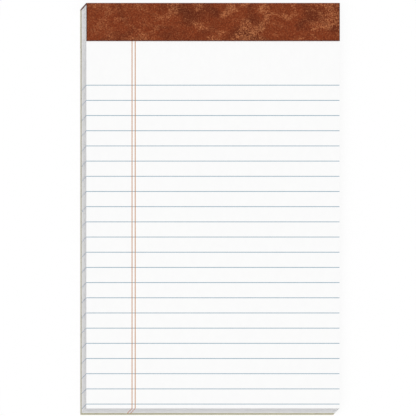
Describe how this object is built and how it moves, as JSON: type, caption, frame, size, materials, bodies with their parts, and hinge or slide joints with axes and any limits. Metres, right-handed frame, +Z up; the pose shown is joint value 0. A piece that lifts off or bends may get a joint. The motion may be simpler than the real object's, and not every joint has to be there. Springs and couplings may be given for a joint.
{
  "type": "legal pad",
  "caption": "Ruled writing pad: white sheets on a chipboard back, wire stitched at the head under a folded leather-grained tape. It lies flat to be written on.",
  "frame": {"origin": "middle of the pad's footprint, on the surface it lies on", "axes": "+X across the sheets to the right of the page, +Y from the foot to the bound head, +Z up out of the first sheet"},
  "size_m": [0.127, 0.2036, 0.0062],
  "materials": {
    "paper": "uncoated writing paper, ruled",
    "chipboard": "raw grey chipboard",
    "leather_grained_tape": "mottled brown, embossed, satin",
    "stitching_wire": "bright steel"
  },
  "bodies": {
    "root": {"page_block": "paper", "backing_board": "chipboard", "binding_tape": "leather_grained_tape", "wire_stitches": "stitching_wire"}
  },
  "joints": []
}
